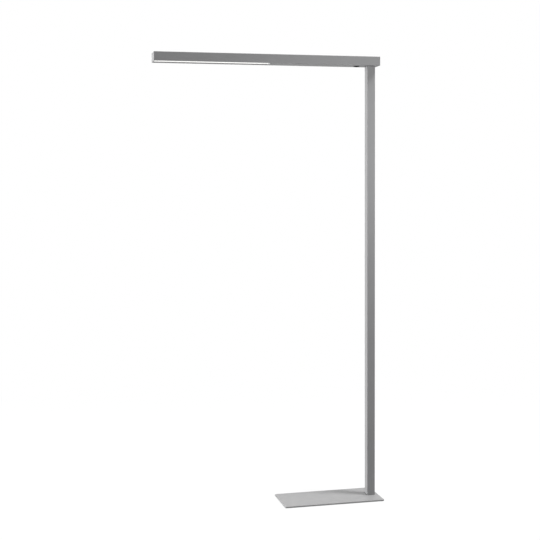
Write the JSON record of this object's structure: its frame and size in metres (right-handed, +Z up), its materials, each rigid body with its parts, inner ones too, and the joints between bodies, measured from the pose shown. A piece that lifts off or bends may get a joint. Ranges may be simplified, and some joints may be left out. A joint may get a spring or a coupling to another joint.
{
  "type": "office floor lamp",
  "caption": "Slim office floor lamp: flat rectangular base, square column at one end, long flat head with a recessed downlight, an uplight and a push button.",
  "frame": {"origin": "on the floor under the middle of the lamp's outline", "axes": "+Z up the column, +X along the head towards the column's end, -Y the front"},
  "size_m": [0.985, 0.205, 1.95],
  "materials": {
    "plate_paint": "satin silver-grey powder coat",
    "column_metal": "satin anodised",
    "head_metal": "satin anodised",
    "plain_metal": "as extruded",
    "bracket_steel": "zinc plated",
    "screw_steel": "zinc plated",
    "black_rubber": "matt",
    "opal": "opal, satin",
    "black_plastic": "fine satin",
    "button_plastic": "smooth",
    "white_plastic": "plain",
    "board": "white solder mask",
    "diode": "phosphor",
    "driver_case": "plain white case",
    "mains_sheath": "black sheath",
    "lead_sheath": "white sheath"
  },
  "bodies": {
    "lamp": {"base_plate": "plate_paint", "base_pads": "black_rubber", "foot_screws": "screw_steel", "column_profile": "column_metal", "foot_gasket": "black_rubber", "top_gasket": "black_rubber", "cord_gland": "black_plastic", "gland_nut": "black_plastic", "connector_bracket": "bracket_steel", "bracket_screw": "screw_steel", "foot_connector": "white_plastic", "connector_screw": "screw_steel", "mains_lead": "mains_sheath", "head_profile": "head_metal", "end_cap_left": "head_metal", "end_cap_right": "head_metal", "end_cap_screws": "screw_steel", "head_saddle": "plain_metal", "head_screws": "screw_steel", "underside_cover": "head_metal", "top_cover": "opal", "down_diffuser": "opal", "down_led_board": "board", "down_leds": "diode", "up_led_board": "board", "up_leds": "diode", "led_driver": "driver_case", "driver_screws": "screw_steel", "terminal_block": "white_plastic", "terminal_screw": "screw_steel", "control_bezel": "black_plastic", "control_nut": "black_plastic", "control_switch": "black_plastic", "control_board": "board", "input_lead": "lead_sheath", "downlight_lead": "lead_sheath", "uplight_lead": "lead_sheath", "control_lead": "lead_sheath", "lead_clip": "white_plastic"},
    "button": {"push_button": "button_plastic", "switch_plunger": "black_plastic"}
  },
  "joints": [
    {"name": "button_press", "type": "slide", "parent": "lamp", "child": "button", "axis": [0, 0, 1], "range_m": [0, 0.0015], "stiffness_N_per_m": 600, "springref_m": -0.002}
  ]
}
